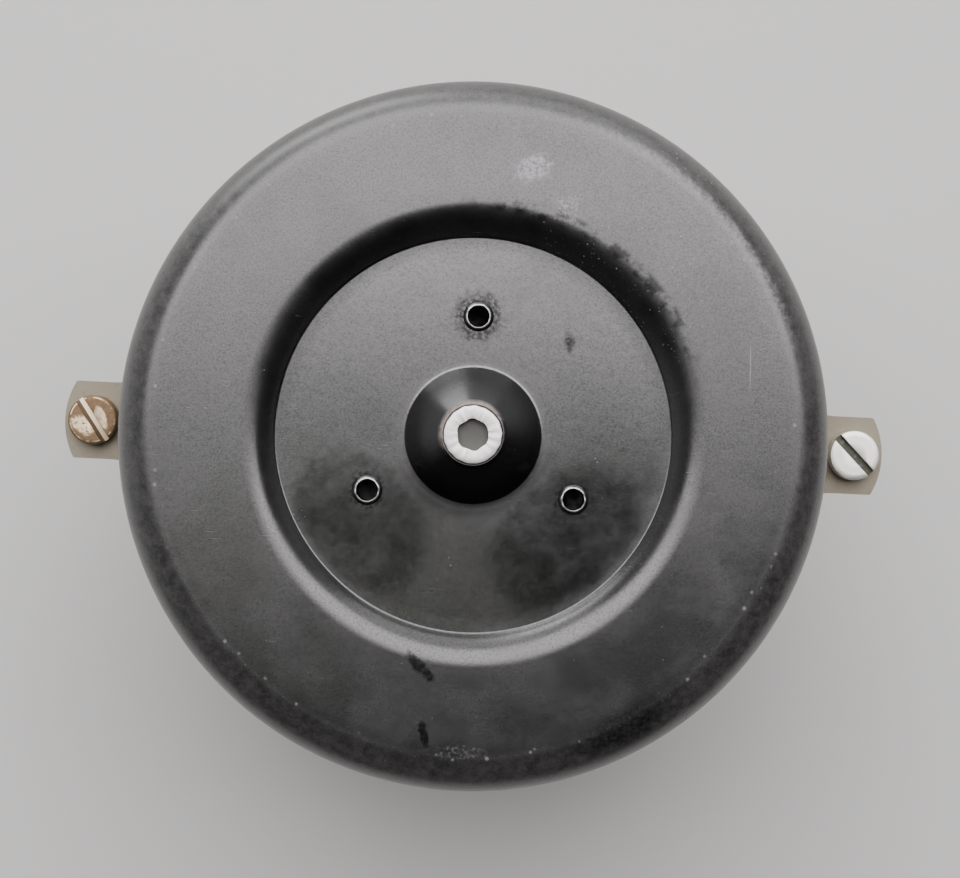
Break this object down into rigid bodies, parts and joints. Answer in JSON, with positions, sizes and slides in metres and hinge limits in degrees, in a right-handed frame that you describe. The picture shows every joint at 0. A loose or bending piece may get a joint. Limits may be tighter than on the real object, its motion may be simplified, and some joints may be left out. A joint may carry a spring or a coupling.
{
  "type": "turntable drive motor",
  "caption": "Round mains motor in drawn steel shells, with two screw ears on its laminated yoke, an end-play screw, and a stepped pulley on a spinning shaft.",
  "frame": {"origin": "on the motor's axis, in the plane of the mounting ears' lower faces", "axes": "+Z along the motor's axis, out of the closed bearing end; +X towards the right-hand ear; the pulley is at -Z"},
  "size_m": [0.1168, 0.095, 0.0887],
  "materials": {
    "black_enamel": "satin",
    "black_rubber": "matt",
    "lamination_steel": "phosphated",
    "moulded_nylon": "moulded",
    "enamelled_wire": "varnished",
    "copper": "dull",
    "sintered_bronze": "sintered",
    "spring_steel": "blued",
    "wool_felt": "oiled",
    "pale_alloy": "matt",
    "ground_steel": "ground",
    "aged_plate": "aged plating",
    "zinc_plate": "zinc plated",
    "cast_aluminium": "die cast",
    "fibre": "pressed fibre",
    "turned_brass": "turned"
  },
  "bodies": {
    "housing": {"bearing_end_shell": "black_enamel", "shaft_end_shell": "black_enamel", "lead_grommet": "black_rubber", "yoke_ring": "lamination_steel", "pole_star": "lamination_steel", "coil_bobbin_1": "moulded_nylon", "coil_bobbin_2": "moulded_nylon", "coil_bobbin_3": "moulded_nylon", "coil_bobbin_4": "moulded_nylon", "field_coil_1": "enamelled_wire", "field_coil_2": "enamelled_wire", "field_coil_3": "enamelled_wire", "field_coil_4": "enamelled_wire", "shading_ring_1": "copper", "shading_ring_2": "copper", "shading_ring_3": "copper", "shading_ring_4": "copper", "bearing_bush_upper": "sintered_bronze", "bearing_bush_lower": "sintered_bronze", "bush_retainer_upper": "spring_steel", "bush_retainer_lower": "spring_steel", "oil_felt_upper": "wool_felt", "oil_felt_lower": "wool_felt", "thrust_screw": "pale_alloy", "thrust_ball": "ground_steel", "ear_screw_left": "aged_plate", "ear_screw_right": "zinc_plate"},
    "rotor": {"rotor_shaft": "ground_steel", "rotor_core": "lamination_steel", "rotor_cage": "cast_aluminium", "shaft_washer_upper": "fibre", "shaft_washer_lower": "fibre", "drive_pulley": "turned_brass", "grub_screw_1": "spring_steel", "grub_screw_2": "spring_steel"}
  },
  "joints": [
    {"name": "rotor_spin", "type": "hinge", "parent": "housing", "child": "rotor", "pos_m": [0, 0, 0], "axis": [0, 0, 1], "continuous": true}
  ]
}
